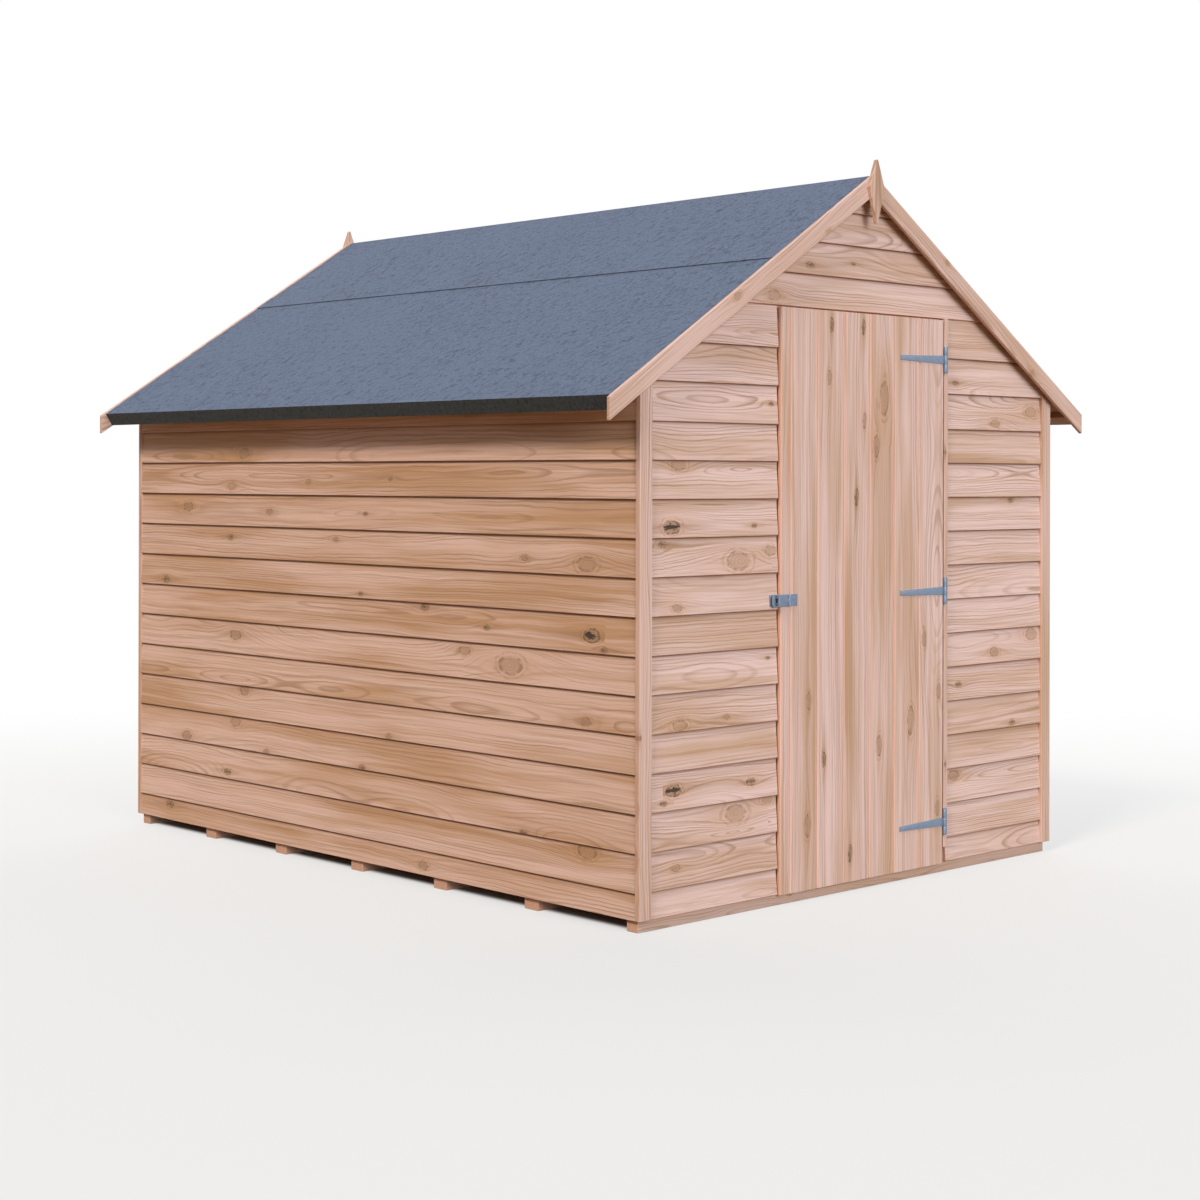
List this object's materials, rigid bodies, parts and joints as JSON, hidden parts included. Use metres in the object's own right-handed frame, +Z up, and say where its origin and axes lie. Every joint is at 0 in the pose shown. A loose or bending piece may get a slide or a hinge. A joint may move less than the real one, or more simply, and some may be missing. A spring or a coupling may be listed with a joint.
{
  "type": "wooden garden shed",
  "caption": "Apex wooden garden shed with lapped board walls, felted roof, bargeboards and finials, a floor on bearers, and a ledged door on strap hinges with a hasp and staple.",
  "frame": {"origin": "on the ground under the middle of the shed", "axes": "+X to the right as seen from the door side, +Y from the door to the back, +Z up"},
  "size_m": [2.1, 2.528, 2.101],
  "materials": {
    "cladding": "rough-sawn softwood boards, dip treated",
    "trim": "planed softwood, dip treated",
    "framing": "sawn softwood",
    "sheathing": "tongued and grooved softwood boards",
    "bearer": "sawn softwood",
    "felt": "mineral-faced roofing felt",
    "door": "tongued and grooved softwood boards",
    "zinc": "galvanised steel"
  },
  "bodies": {
    "shed": {"left_wall_cladding": "cladding", "right_wall_cladding": "cladding", "back_wall_cladding": "cladding", "front_wall_cladding_left": "cladding", "front_wall_cladding_right": "cladding", "front_gable_cladding": "cladding", "front_left_corner_trim": "trim", "front_right_corner_trim": "trim", "back_left_corner_trim": "trim", "back_right_corner_trim": "trim", "hinge_strip": "trim", "front_bargeboard_left": "trim", "front_bargeboard_right": "trim", "back_bargeboard_left": "trim", "back_bargeboard_right": "trim", "front_finial": "trim", "back_finial": "trim", "left_wall_studs": "framing", "left_wall_rails": "framing", "right_wall_studs": "framing", "right_wall_rails": "framing", "back_wall_studs": "framing", "back_wall_rail": "framing", "back_rafters": "framing", "front_wall_studs": "framing", "front_wall_rails": "framing", "front_rafters": "framing", "roof_battens_left": "framing", "roof_battens_right": "framing", "roof_boards_left": "sheathing", "roof_boards_right": "sheathing", "floor_boards": "sheathing", "bearers": "bearer", "felt_left": "felt", "felt_right": "felt", "felt_ridge": "felt", "hinge_plates": "zinc", "hasp_staple": "zinc"},
    "door": {"door_boards": "door", "door_ledges": "door", "door_braces": "door", "hinge_straps": "zinc", "hasp_leaf": "zinc"},
    "hasp": {"hasp_flap": "zinc"}
  },
  "joints": [
    {"name": "door_swing", "type": "hinge", "parent": "shed", "child": "door", "pos_m": [0.3635, -1.23, 0.848], "axis": [0, 0, 1], "range_deg": [0, 165]},
    {"name": "hasp_swing", "type": "hinge", "parent": "door", "child": "hasp", "pos_m": [-0.3365, -1.229, 0.846], "axis": [0, 0, 1], "range_deg": [0, 165]}
  ]
}
